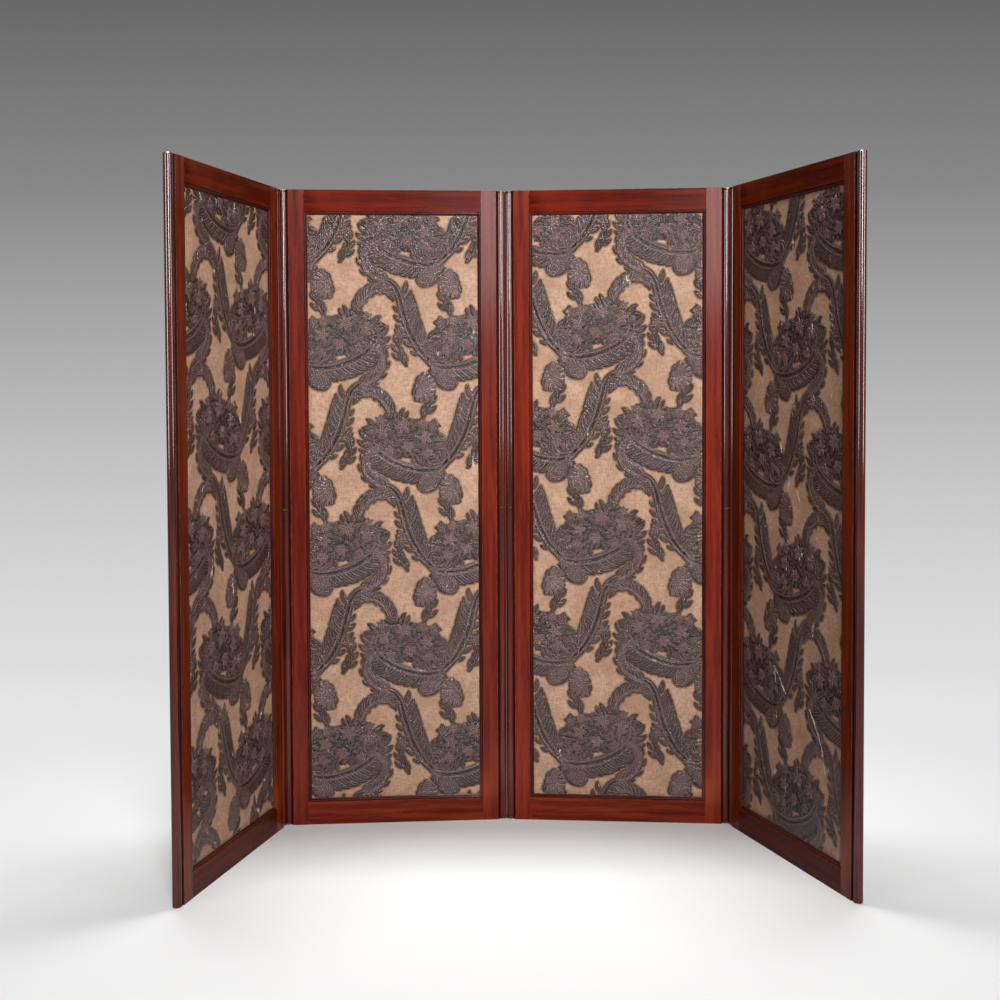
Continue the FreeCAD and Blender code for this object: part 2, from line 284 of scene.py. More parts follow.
# Painted shade: the outer leaves' rails are the brown wood made darker, against the light from above that
# falls on them.
SHADED_OUTER_RAIL_WOOD = ((0.052, 0.0046, 0.0010, 1.0), (0.132, 0.0140, 0.0020, 1.0), (0.180, 0.0280, 0.0050, 1.0))
STILES_OF_LEAF = {1: BROWN_WOOD, 2: RED_WOOD, 3: LIGHT_WOOD, 4: BROWN_WOOD}
TOP_RAILS_OF_LEAF = {1: SHADED_OUTER_RAIL_WOOD, 2: SHADED_TOP_RAIL_WOOD, 3: SHADED_TOP_RAIL_WOOD, 4: SHADED_OUTER_RAIL_WOOD}
LOW_RAILS_OF_LEAF = {1: SHADED_OUTER_RAIL_WOOD, 2: LIT_LOW_RAIL_WOOD, 3: LIT_LOW_RAIL_WOOD, 4: SHADED_OUTER_RAIL_WOOD}
UP_THE_STILE = (0.0, 0.0, 0.0)
ALONG_THE_RAIL = (0.0, math.radians(90.0), 0.0)
# Each part of a frame: its finish, the lie of its grain, its polish, its tones and its pieces.
FRAME_PARTS = (("stile", UP_THE_STILE, 0.20, STILES_OF_LEAF, ("left_stile", "right_stile")),
               ("top_rail", ALONG_THE_RAIL, 0.04, TOP_RAILS_OF_LEAF, ("top_rail",)),
               ("low_rail", ALONG_THE_RAIL, 0.08, LOW_RAILS_OF_LEAF, ("bottom_rail",)))
for leaf in LEAVES:
    for part, grain_turn, polish, tones, pieces in FRAME_PARTS:
        wood = polished_mahogany("mahogany_%s_%d" % (part, leaf), leaf, grain_turn, polish, tones[leaf])
        for piece in pieces:
            give(wood, "leaf_%d_%s" % (leaf, piece))

# Beads
# Round mahogany rods glued in the hollow edges of the stiles, as thick as the leaf. They are turned
# in dark straight-grained wood and polished brightly. Dirt has dulled them where two beads face each
# other in a fold, and knocks and cleaning have worn the polish off their lower halves.
FOLD_LINES = ("12", "23", "34")
DULL_REACH = (0.0035, 0.0080)
WORN_HEIGHT = (0.55, 1.10)
BEAD_WOOD = ((0.046, 0.0034, 0.0013, 1.0), (0.130, 0.0110, 0.0036, 1.0), (0.190, 0.0260, 0.0100, 1.0))
bead_wood, tree, surface = finish_with("mahogany_bead")
where = object_place(tree)
grain = mahogany_grain(tree, where, BEAD_WOOD)
plan = mapped(tree, where, Scale=(1.0, 1.0, 0.0))
off_fold = 1.0
for line in FOLD_LINES:
    axis = middle_of("link_plates_" + line)
    off = put(tree, "ShaderNodeVectorMath", {0: plan, 1: (axis.x, axis.y, 0.0)}, operation="DISTANCE")
    off_fold = sum_of(tree, "MINIMUM", off.outputs["Value"], off_fold)
clean = ease(tree, off_fold, *DULL_REACH)
dulled = scaled(tree, grain["Roughness"], 0.7, 0.6)
unworn = ease(tree, parts_of(tree, where)[2], *WORN_HEIGHT)
polish = scaled(tree, unworn, 0.74, 0.16)
feed(tree, surface, {
    "Base Color": grain["Color"],
    "Roughness": scaled(tree, clean, -0.6, dulled),
    "Specular IOR Level": 0.08,
    "Coat Weight": times(tree, polish, clean),
    "Coat IOR": 2.6,
    "Coat Roughness": 0.10})
roughen(tree, surface, grain["Height"], strength=0.03, distance=0.0004)
for leaf in LEAVES:
    give(bead_wood, "leaf_%d_left_bead" % leaf, "leaf_%d_right_bead" % leaf)

# Backing boards
# A thin plain board fills each frame and carries the paper and the lining. It stays bare, and only
# its edges could ever be seen, inside the joints.
BARE_WOOD = ((0.24, 0.15, 0.08, 1.0), (0.36, 0.24, 0.13, 1.0), (0.42, 0.31, 0.19, 1.0))
bare_board, tree, surface = finish_with("backing_board")
grain = mahogany_grain(tree, object_place(tree), BARE_WOOD)
feed(tree, surface, {"Base Color": grain["Color"], "Roughness": 0.8})
for leaf in LEAVES:
    give(bare_board, "leaf_%d_backing_board" % leaf)

# Embossed papers
# Heavy leather paper, pressed in high relief from the back, painted tan and then dark on the raised
# ornament, with a brown airbrushed edge. One repeat of scrolls, plumes, shells and flowers is drawn in
# millimetres (x across, z up), then repeated over the panel and pressed flat by the slips.
REPEAT_WIDE = 344.0
REPEAT_TALL = 560.0
EDGE_SPRAY = 9.0
CAP_SPRAY = 7.2
CAP_NARROWING = 0.6
SUNK_RIM = -0.04
THINNEST = 0.35
repeat_points = []
repeat_shades = []
repeat_lines = []
repeat_faces = []


def bent_line(x, z, heading, length, turning, steps):
    """Points with headings along a curve. turning(t) is its rate of turn, in radians over its length."""
    line = []
    for step in range(steps + 1):
        line.append((x, z, heading))
        turn = turning((step + 0.5) / steps) / steps
        x += math.cos(heading + turn / 2) * length / steps
        z += math.sin(heading + turn / 2) * length / steps
        heading += turn
    return line


def join_rows(rows, outwards):
    """Faces between rows of points, looking to the front. Outwards is for rings from a middle."""
    first = len(repeat_points)
    wide = len(rows[0])
    for row in rows:
        for x, z, height, shade, along, over in row:
            repeat_points.append((x, z, height))
            repeat_shades.append(shade)
            repeat_lines.append((along, over))
    for r in range(len(rows) - 1):
        for c in range(wide - 1):
            a = first + r * wide + c
            if outwards:
                repeat_faces.append((a, a + wide, a + wide + 1, a + 1))
            else:
                repeat_faces.append((a, a + 1, a + wide + 1, a + wide))


# Cross sections of the raised strips: place from edge to edge, height, and depth of colour.
LEAF_SECTION = ((-1.0, 0.22, 0.55), (-0.6, 0.95, 1.0), (0.0, 0.35, 1.0), (0.6, 0.95, 1.0), (1.0, 0.22, 0.55))
BAND_SECTION = ((-1.0, 0.3, 0.55), (-0.8, 1.0, 1.0), (-0.5, 0.9, 1.0), (-0.36, 0.3, 1.0), (0.36, 0.3, 1.0),
                (0.5, 0.9, 1.0), (0.8, 1.0, 1.0), (1.0, 0.3, 0.55))
ROUND_SECTION = ((-1.0, 0.25, 0.55), (-0.5, 0.85, 1.0), (0.5, 0.85, 1.0), (1.0, 0.25, 0.55))


def strip(line, half_width, section, rise, base=0.0):
    """A raised strip along a line, with a sprayed edge on the ground. A base lays it on other relief."""
    last = len(line) - 1
    length = sum(math.dist(line[i][:2], line[i + 1][:2]) for i in range(last))
    rows = []
    steps = range(last + 1) if base else range(-1, last + 2)
    for step in steps:
        i = min(max(step, 0), last)
        x, z, heading = line[i]
        t = i / last
        cap = step - i
        x += math.cos(heading) * cap * CAP_SPRAY
        z += math.sin(heading) * cap * CAP_SPRAY
        wide = max(half_width(t), THINNEST)
        columns = [(side * wide, height * rise, shade) for side, height, shade in section]
        if base:
            columns = [(over, base + height, 1.0) for over, height, shade in columns]
        else:
            columns = [(-wide - EDGE_SPRAY, SUNK_RIM, 0.0)] + columns + [(wide + EDGE_SPRAY, SUNK_RIM, 0.0)]
        if cap:
            columns = [(over * CAP_NARROWING, SUNK_RIM, 0.0) for over, height, shade in columns]
        rows.append([(x + math.sin(heading) * over, z - math.cos(heading) * over, height, shade,
                      t * length, over) for over, height, shade in columns])
    join_rows(rows, False)


def turned(right, up, turn):
    """A place turned about the middle, in radians."""
    return right * math.cos(turn) - up * math.sin(turn), right * math.sin(turn) + up * math.cos(turn)


def patch(x, z, radius, rise, around, rings, base=0.0, stretch=1.0, turn=0.0, flat=0.55):
    """A raised round or lobed patch. radius(angle) is its outline. Stretch is its height over its width."""
    rows = []
    for share in (0.02,) + rings + (() if base else (None,)):
        row = []
        for step in range(around + 1):
            angle = 2 * math.pi * (step % around) / around
            if share is None:
                reach = radius(angle) + EDGE_SPRAY
                height = SUNK_RIM
                shade = 0.0
            else:
                reach = radius(angle) * share
                height = base + rise * (flat + (1 - flat) * math.cos(share * math.pi / 2) ** 0.75)
                shade = 1.0
            if share == 1.0:
                height = base + rise * 0.25
                shade = 1.0 if base else 0.55
            across, upwards = turned(math.cos(angle) * reach, math.sin(angle) * reach * stretch, turn)
            row.append((x + across, z + upwards, height, shade, across, upwards))
        rows.append(row)
    join_rows(rows, True)


def place_on(line, t):
    """The point and heading a share of the way along a line."""
    return line[min(int(t * (len(line) - 1) + 0.5), len(line) - 1)]


def frond(x, z, heading, length, width, bend, rise, base=0.0, steps=5):
    """A single leaf lobe with a sunk midrib, narrow at the root and pointed at the tip."""
    line = bent_line(x, z, heading, length, lambda t: bend * (0.35 + 1.3 * t), steps)

    def half_width(t):
        return width / 2 * math.sin(math.pi * min(max(t, 0.02) ** 0.62, 0.985)) ** 0.75
    strip(line, half_width, LEAF_SECTION, rise, base)


def fringe(line, side, start, end, count, length, width):
    """Leaf lobes along a scroll, longest in the middle. Side is 1 on its left, -1 on its right."""
    root = 5.0
    for i in range(count):
        share = i / (count - 1)
        x, z, heading = place_on(line, start + (end - start) * share)
        size = 0.55 + 0.45 * math.sin(math.pi * (0.12 + 0.76 * share))
        x -= math.sin(heading) * side * root
        z += math.cos(heading) * side * root
        frond(x, z, heading + side * 1.12, length * size, width * size, -side * 0.95, rise=1.15)


def scroll(x, z, heading, length, belly, start_curl, end_curl, width):
    """A moulded band laid out from its middle, rolled up at both ends. Belly and curls are in radians."""
    half = length / 2
    onward = bent_line(x, z, heading, half, lambda t: belly / 2 + 4 * end_curl * t ** 3, 24)
    back = bent_line(x, z, heading + math.pi, half, lambda t: -belly / 2 - 4 * start_curl * t ** 3, 24)
    line = [(px, pz, way - math.pi) for px, pz, way in reversed(back)] + onward[1:]
    strip(line, lambda t: width / 2 * (0.36 + 0.64 * math.sin(math.pi * t) ** 0.7), BAND_SECTION, rise=1.6)
    for px, pz, way in (line[0], line[-1]):
        patch(px, pz, lambda angle: width * 0.30, rise=1.9, around=10, rings=(0.6, 1.0))
    return line


def blossom(x, z, size, petals, turn, base=0.0, rise=1.5):
    """Open flower: pointed petals round a domed heart."""
    for i in range(petals):
        angle = turn + 2 * math.pi * i / petals
        frond(x + math.cos(angle) * size * 0.12, z + math.sin(angle) * size * 0.12, angle, size * 0.5,
              size * 2.1 / petals, 0.25, rise, base, steps=4)
    patch(x, z, lambda angle: size * 0.15, rise * 0.65, 8, (0.6, 1.0), base + rise * 0.5)


def branch(x, z, heading, length, bend, leaves, leaf, flower):
    """Thin stem with leaves by turns on its two sides and a flower at its end."""
    line = bent_line(x, z, heading, length, lambda t: bend * (0.4 + 1.2 * t), 12)
    strip(line, lambda t: 2.0 - 0.8 * t, ROUND_SECTION, rise=1.0)
    for i in range(leaves):
        share = (i + 0.7) / (leaves + 0.5)
        side = 1 if i % 2 else -1
        px, pz, way = place_on(line, share)
        size = leaf * (1.1 - 0.45 * share)
        frond(px, pz, way + side * 0.8, size, size * 0.40, -side * 0.7, rise=1.05, steps=4)
    px, pz, way = line[-1]
    blossom(px, pz, flower, 5, way)


def plume(x, z, heading, length, bend, side, count, lobe, width):
    """Feathered leaf: a stout rib with long lobes combed along one side and short ones on the other."""
    line = bent_line(x, z, heading, length, lambda t: bend * (0.3 + 1.4 * t), 22)
    for i in range(count):
        share = i / (count - 1)
        px, pz, way = place_on(line, 0.06 + 0.88 * share)
        size = 0.62 + 0.38 * math.sin(math.pi * (0.2 + 0.6 * share))
        frond(px, pz, way + side * (1.05 - 0.35 * share), lobe * size, width * size, -side * 1.1, rise=1.3,
              steps=6)
        if i % 2 == 0:
            frond(px, pz, way - side * (0.8 - 0.3 * share), lobe * 0.45 * size, width * 0.7 * size,
                  side * 0.7, rise=1.0, steps=4)
    strip(line, lambda t: (0.2 * width + 3.0 * (1 - t)) * min(1.0, 0.25 + 6 * t), ROUND_SECTION, rise=1.7)
    px, pz, way = line[-1]
    frond(px, pz, way, lobe * 0.55, width * 0.8, bend * 0.4, rise=1.2)


def shell(x, z, heading, size, ribs, spread):
    """Fan of rounded ribs with a pair of small curls at its foot."""
    for i in range(ribs):
        share = i / (ribs - 1)
        length = size * (0.82 + 0.18 * math.sin(math.pi * share))
        line = bent_line(x, z, heading + spread * (share - 0.5), length, lambda t: 0.0, 6)
        strip(line, lambda t: 0.9 + size * spread / ribs * 0.5 * t * (1.0 if t < 0.95 else 0.7),
              ROUND_SECTION, rise=1.7)
    patch(x, z, lambda angle: size * 0.17, rise=2.1, around=12, rings=(0.5, 0.8, 1.0))
    for side in (1, -1):
        line = bent_line(x, z, heading + side * 1.9, size * 0.75, lambda t: -side * 9 * t ** 2, 16)
        strip(line, lambda t: size * 0.075 * (1.1 - 0.6 * t), ROUND_SECTION, rise=1.5)


def seed_pod(x, z, turn, size):
    """Oval fruit with rows of raised scales, a leafy crown and a cup of two leaves."""
    patch(x, z, lambda angle: size * 0.5, 1.0, 28, (0.3, 0.6, 0.85, 1.0), stretch=1.22, turn=turn)
    step = size * 0.125
    for row in range(-4, 5):
        for column in range(-4, 5):
            right = (column + 0.5 * (row % 2)) * step * 1.15
            up = row * step
            if (right / (size * 0.42)) ** 2 + (up / (size * 0.53)) ** 2 < 1:
                across, upwards = turned(right, up, turn)
                patch(x + across, z + upwards, lambda angle: step * 0.5, rise=0.9, around=6,
                      rings=(0.55, 1.0), base=0.8, flat=0.2)
    stem = turn + math.pi / 2
    for i in range(-2, 3):
        frond(x + math.cos(stem) * size * 0.52, z + math.sin(stem) * size * 0.52, stem - 0.42 * i,
              size * 0.42, size * 0.17, -0.35 * i, rise=1.2)
    for side in (1, -1):
        frond(x - math.cos(stem) * size * 0.62, z - math.sin(stem) * size * 0.62, stem + side * 0.95,
              size * 0.8, size * 0.26, -side * 1.3, rise=1.4, steps=7)


def leaf_bank(x, z, wide, tall, turn, seed):
    """A dense bank of small leaves. Those at its edge stand free on the ground and make it ragged."""
    pick = random.Random(seed)
    phase = pick.uniform(0, 2 * math.pi)

    def outline(angle):
        slow = 0.9 + 0.13 * math.sin(2 * angle + phase) + 0.12 * math.sin(3 * angle - phase * 2)
        return wide / 2 * (slow + 0.05 * math.sin(7 * angle))
    patch(x, z, outline, 0.5, 60, (0.4, 0.8, 1.0), stretch=tall / wide, turn=turn, flat=0.9)
    spacing = 11.4
    rows = int(tall / spacing) + 2
    columns = int(wide / spacing) + 2
    for r in range(-rows, rows + 1):
        for c in range(-columns, columns + 1):
            right = (c + 0.5 * (r % 2)) * spacing + pick.uniform(-2.4, 2.4)
            up = r * spacing * 0.86 + pick.uniform(-2.4, 2.4)
            angle = math.atan2(up * wide / tall, right)
            out = math.atan2(up, right) + pick.uniform(-0.9, 0.9)
            size = pick.uniform(14.0, 20.0)
            bend = pick.uniform(-0.9, 0.9)
            place = math.hypot(right, up * wide / tall) / outline(angle)
            across, upwards = turned(right, up, turn)
            if place < 0.86:
                frond(x + across, z + upwards, out + turn, size, size * 0.46, bend, 0.9, base=0.40, steps=4)
            elif place < 1.0:
                frond(x + across, z + upwards, out + turn, size * 1.2, size * 0.48, bend, 1.2, steps=4)


# The ornament of the lower half, each piece by its place and its own sizes.
BANK = (92, 150)
FLOWER_FIELD = (195, 140)
BANK_FLOWERS = ((-0.30, 0.02, 34), (0.02, 0.26, 38), (0.30, 0.14, 34), (-0.06, -0.16, 30),
                (0.20, -0.22, 26), (-0.34, -0.28, 24), (0.33, 0.38, 24), (-0.28, 0.30, 26))
leaf_bank(*BANK, wide=200, tall=140, turn=0.25, seed=3)
for i, (right, up, size) in enumerate(BANK_FLOWERS):
    blossom(BANK[0] + right * FLOWER_FIELD[0], BANK[1] + up * FLOWER_FIELD[1], size, petals=5 + i % 2,
            turn=0.7 * i, base=1.0, rise=1.1)
cradle = scroll(96, 76, heading=0.35, length=400, belly=1.7, start_curl=5.0, end_curl=5.8, width=21)
fringe(cradle, side=-1, start=0.22, end=0.80, count=15, length=52, width=18)
rising = scroll(268, 168, heading=1.95, length=420, belly=-1.3, start_curl=-5.2, end_curl=5.6, width=20)
fringe(rising, side=-1, start=0.26, end=0.72, count=11, length=54, width=19)
fringe(rising, side=1, start=0.34, end=0.62, count=6, length=34, width=14)
shell(290, 14, heading=-0.3, size=48, ribs=9, spread=2.6)
plume(214, 292, heading=2.9, length=150, bend=-2.3, side=-1, count=11, lobe=54, width=18)
plume(128, 212, heading=1.25, length=118, bend=-1.9, side=1, count=9, lobe=40, width=15)
seed_pod(22, 34, turn=0.9, size=54)
branch(40, 206, heading=2.2, length=80, bend=-1.0, leaves=6, leaf=30, flower=30)
branch(262, 70, heading=2.3, length=92, bend=-1.3, leaves=7, leaf=28, flower=30)
branch(306, 140, heading=0.1, length=74, bend=1.6, leaves=6, leaf=28, flower=28)
# The upper half of the repeat is the lower one turned over and moved up.
half_count = len(repeat_points)
for x, z, height in list(repeat_points):
    repeat_points.append((REPEAT_WIDE - x, z + REPEAT_TALL / 2, height))
repeat_shades += repeat_shades
repeat_lines += repeat_lines
repeat_faces += [tuple(half_count + i for i in reversed(face)) for face in repeat_faces]


def add_object(name, data):
    """A new object in the scene."""
    piece = bpy.data.objects.new(name, data)
    bpy.context.collection.objects.link(piece)
    return piece


repeat_mesh = bpy.data.meshes.new("paper_repeat")
repeat_mesh.from_pydata(repeat_points, [], repeat_faces)
shade_layer = repeat_mesh.attributes.new("shade", "FLOAT", "POINT")
shade_layer.data.foreach_set("value", repeat_shades)
line_layer = repeat_mesh.uv_layers.new(name="UVMap")
for corner in repeat_mesh.loops:
    line_layer.data[corner.index].uv = repeat_lines[corner.vertex_index]
repeat_piece = add_object("paper_repeat", repeat_mesh)

# The leather paper's finish: tan ground with a fine canvas tooth, dark waxed relief with drawn lines. The
# relief is painted paler where it stands high and on the crests of its drawn lines and tooled dots, partly
# rubbed wax and partly painted light, and near black where it lies low, as painted shade. The outer leaves
# have been knocked about most.
TAN_TONES = ((0.545, 0.330, 0.220, 1.0), (0.425, 0.240, 0.148, 1.0))
CANVAS_TONE = (0.270, 0.145, 0.078, 1.0)
RELIEF_TONES = ((0.017, 0.0085, 0.0068, 1.0), (0.195, 0.112, 0.104, 1.0))
SPRAY_TONES = ((0.270, 0.145, 0.085, 1.0), (0.070, 0.034, 0.021, 1.0))
TORN_TONE = (0.66, 0.58, 0.48, 1.0)
OUTER_LEAF_REACH = (0.56, 0.64)
BLOTCH_SCALE = 16.0
SPECKLE_SCALE = 420.0
CANVAS_SCALE = 260.0
STROKE_SCALE = 0.052
STIPPLE_SCALE = 230.0
NICK_SCALE = 38.0
leather_paper, tree, surface = finish_with("embossed_paper")
where = object_place(tree)
strokes = put(tree, "ShaderNodeUVMap", uv_map="UVMap").outputs[0]
shade = put(tree, "ShaderNodeAttribute", attribute_name="shade").outputs["Fac"]
rise = put(tree, "ShaderNodeAttribute", attribute_name="rise").outputs["Fac"]
blotches = noise(tree, where, BLOTCH_SCALE, 5.0)
speckle = noise(tree, where, SPECKLE_SCALE, 3.0)
ground = blend_colours(tree, ease(tree, blotches, 0.35, 0.68), *TAN_TONES)
canvas = 0.0
for stretch in ((1.0, 1.0, 0.3), (0.3, 0.3, 1.0)):
    threads = noise(tree, mapped(tree, where, Scale=stretch), CANVAS_SCALE, 2.0)
    canvas = scaled(tree, threads, 0.5, canvas)
tooth = times(tree, ease(tree, canvas, 0.44, 0.60), 0.60)
ground = blend_colours(tree, tooth, ground, CANVAS_TONE)
drawn = put(tree, "ShaderNodeTexWave", {"Vector": strokes, "Scale": STROKE_SCALE, "Distortion": 1.4,
                                        "Detail": 2.0, "Detail Scale": 0.3}, bands_direction="Y")
drawn_lines = ease(tree, drawn.outputs["Fac"], 0.25, 0.75)
stipple = put(tree, "ShaderNodeTexVoronoi", {"Vector": where, "Scale": STIPPLE_SCALE}).outputs["Distance"]
tooled = ease(tree, stipple, 0.70, 0.12)
tooling = scaled(tree, drawn_lines, 0.40, times(tree, tooled, 0.30))
# Painted light and shade on the relief: paler the higher it stands and on the crests of its drawn lines and
# tooled dots, partly rubbed wax; near black where it lies low.
raised_light_and_rub = ease(tree, rise, 0.25, 1.50)
tone = times(tree, sum_of(tree, "ADD", tooling, 0.40), raised_light_and_rub)
wear_and_painted_light = scaled(tree, ease(tree, blotches, 0.40, 0.70), 0.15, tone)
relief = blend_colours(tree, wear_and_painted_light, *RELIEF_TONES)
colour = blend_colours(tree, ease(tree, shade, 0.0, 0.26), ground, SPRAY_TONES[0])
colour = blend_colours(tree, ease(tree, shade, 0.20, 0.48), colour, SPRAY_TONES[1])
colour = blend_colours(tree, ease(tree, shade, 0.34, 0.66), colour, relief)
nick_field = noise(tree, mapped(tree, where, Scale=(1.0, 1.0, 0.4)), NICK_SCALE, 6.0, 0.75)
outer_leaf = ease(tree, sum_of(tree, "ABSOLUTE", parts_of(tree, where)[0]), *OUTER_LEAF_REACH)
nick_zone = scaled(tree, outer_leaf, 0.10, noise(tree, where, 3.2, 2.0))
nicks = times(tree, ease(tree, nick_field, 0.64, 0.66), ease(tree, nick_zone, 0.54, 0.62))
# Tears and chips of the outer leaves: the leaf, then the upper and the lower end in the leaf's own measure.
TEARS = ((4, 0.226, 0.479, 0.279, 0.419), (4, 0.226, 0.479, 0.231, 0.440), (4, 0.390, 0.404, 0.443, 0.326),
         (4, 0.443, 0.326, 0.456, 0.262), (4, 0.248, 1.048, 0.256, 1.028), (4, 0.328, 0.935, 0.336, 0.912),
         (1, 0.142, 1.656, 0.147, 1.642), (1, 0.325, 1.652, 0.327, 1.638), (1, 0.441, 1.402, 0.439, 1.388))
TEAR_HALF_WIDTH = (0.0028, 0.0014)
TEAR_WANDER = 0.010
TEAR_TIP = 0.004
NEAR_THE_LEAF = 0.03
leaf_xyz = {}
for leaf, top_x, top_z, foot_x, foot_z in TEARS:
    if leaf not in leaf_xyz:
        leaf_xyz[leaf] = parts_of(tree, leaf_measure(tree, leaf))
    x, y, z = leaf_xyz[leaf]
    slope = (foot_x - top_x) / (foot_z - top_z)
    tear_x = scaled(tree, z, slope, top_x - slope * top_z)
    ragged = scaled(tree, nick_field, TEAR_WANDER * 2, sum_of(tree, "SUBTRACT", x, tear_x))
    off_tear = sum_of(tree, "ABSOLUTE", sum_of(tree, "SUBTRACT", ragged, TEAR_WANDER))
    tear = sum_of(tree, "LESS_THAN", sum_of(tree, "ABSOLUTE", y), NEAR_THE_LEAF)
    tear = times(tree, tear, ease(tree, off_tear, *TEAR_HALF_WIDTH))
    for end, past in ((top_z, TEAR_TIP), (foot_z, -TEAR_TIP)):
        tear = times(tree, tear, ease(tree, z, end + past, end))
    nicks = sum_of(tree, "MAXIMUM", nicks, tear)
dark = ease(tree, shade, 0.3, 0.6)
gloss = scaled(tree, dark, -0.42, 0.62)
feed(tree, surface, {
    "Base Color": blend_colours(tree, nicks, colour, TORN_TONE),
    "Roughness": scaled(tree, speckle, 0.12, gloss),
    "Specular IOR Level": 0.6})
line_depth = times(tree, scaled(tree, tooled, 0.8, drawn_lines), dark)
roughen(tree, surface, scaled(tree, speckle, 0.5, line_depth), strength=0.85, distance=0.0012)

# The repeat is laid out over a panel's size by a node tree, then each leaf takes its own cut of it.
paper_tiling = bpy.data.node_groups.new("paper tiling", "GeometryNodeTree")
paper_tiling.is_modifier = True
paper_tiling.interface.new_socket("Geometry", in_out="INPUT", socket_type="NodeSocketGeometry")
LAYOUT = (("Repeat width", "NodeSocketFloat", REPEAT_WIDE), ("Repeat height", "NodeSocketFloat", REPEAT_TALL),
          ("Columns", "NodeSocketInt", 4), ("Rows", "NodeSocketInt", 5))
tiling_sizes = {}
for label, kind, value in LAYOUT:
    socket = paper_tiling.interface.new_socket(label, in_out="INPUT", socket_type=kind)
    tiling_sizes[socket.identifier] = value
paper_tiling.interface.new_socket("Geometry", in_out="OUTPUT", socket_type="NodeSocketGeometry")
given = paper_tiling.nodes.new("NodeGroupInput").outputs
tiling_out = paper_tiling.nodes.new("NodeGroupOutput")
grid_inputs = {"Vertices X": given["Columns"], "Vertices Y": given["Rows"]}
for size, repeat, count in (("Size X", "Repeat width", "Columns"), ("Size Y", "Repeat height", "Rows")):
    spaces = sum_of(paper_tiling, "SUBTRACT", given[count], 1.0)
    grid_inputs[size] = sum_of(paper_tiling, "MULTIPLY", given[repeat], spaces)
places = put(paper_tiling, "GeometryNodeMeshGrid", grid_inputs).outputs[0]
tiles = put(paper_tiling, "GeometryNodeInstanceOnPoints", {"Points": places, "Instance": given["Geometry"]})
laid_tiles = put(paper_tiling, "GeometryNodeRealizeInstances", {0: tiles.outputs[0]})
painted_tiles = put(paper_tiling, "GeometryNodeSetMaterial", {"Geometry": laid_tiles.outputs[0],
                                                             "Material": leather_paper})
paper_tiling.links.new(painted_tiles.outputs[0], tiling_out.inputs[0])
tiling = repeat_piece.modifiers.new("paper tiling", "NODES")
tiling.node_group = paper_tiling
for identifier, value in tiling_sizes.items():
    tiling[identifier] = value
evaluated = repeat_piece.evaluated_get(bpy.context.evaluated_depsgraph_get())
laid_paper = bpy.data.meshes.new_from_object(evaluated)
repeat_piece.modifiers.remove(tiling)
bpy.data.objects.remove(repeat_piece)


def read_layer(layer, field, wide, kind=float):
    """The values of a mesh layer, in rows."""
    values = numpy.empty(len(layer) * wide, dtype=kind)
    layer.foreach_get(field, values)
    return values.reshape(-1, wide)


laid_points = read_layer(laid_paper.vertices, "co", 3)
laid_shades = read_layer(laid_paper.attributes["shade"].data, "value", 1).ravel()
laid_corners = read_layer(laid_paper.loops, "vertex_index", 1, int).reshape(-1, 4)
laid_lines = read_layer(laid_paper.uv_layers["UVMap"].data, "uv", 2).reshape(-1, 4, 2)

LEAF_HEIGHT = 1727.0
PAPER_ACROSS = (55.5, 532.5)
PAPER_UP = (62.5, 1668.5)
PAPER_FRONT = 4.2
PAPER_BACK = 3.0
PAPER_GRID = (25, 81)
UNDER_SLIP = 9.5
TUCK = 4.0
SPARE = 1.0
PRESSED_RIM = 4.0
EMBOSSING = 1.7
SWELL_RIM = 20.0
PAPER_SHIFT = {1: (30.0, 96.0), 2: (118.0, 40.0), 3: (206.0, 68.0), 4: (290.0, 12.0)}
leaf_middle = numpy.array((AXIS_SPAN * 1000.0, LEAF_HEIGHT)) / 2
repeat_middle = numpy.array((REPEAT_WIDE, REPEAT_TALL)) / 2
sight_low = numpy.array((PAPER_ACROSS[0] + UNDER_SLIP, PAPER_UP[0] + UNDER_SLIP))
sight_high = numpy.array((PAPER_ACROSS[1] - UNDER_SLIP, PAPER_UP[1] - UNDER_SLIP))


def sheet_swell(places):
    """How far an old sheet stands off its board, in millimetres."""
    right, up = places[:, 0], places[:, 1]
    return 0.10 * numpy.sin(right / 71.0 + up / 160.0) + 0.08 * numpy.sin(up / 93.0 - right / 140.0)


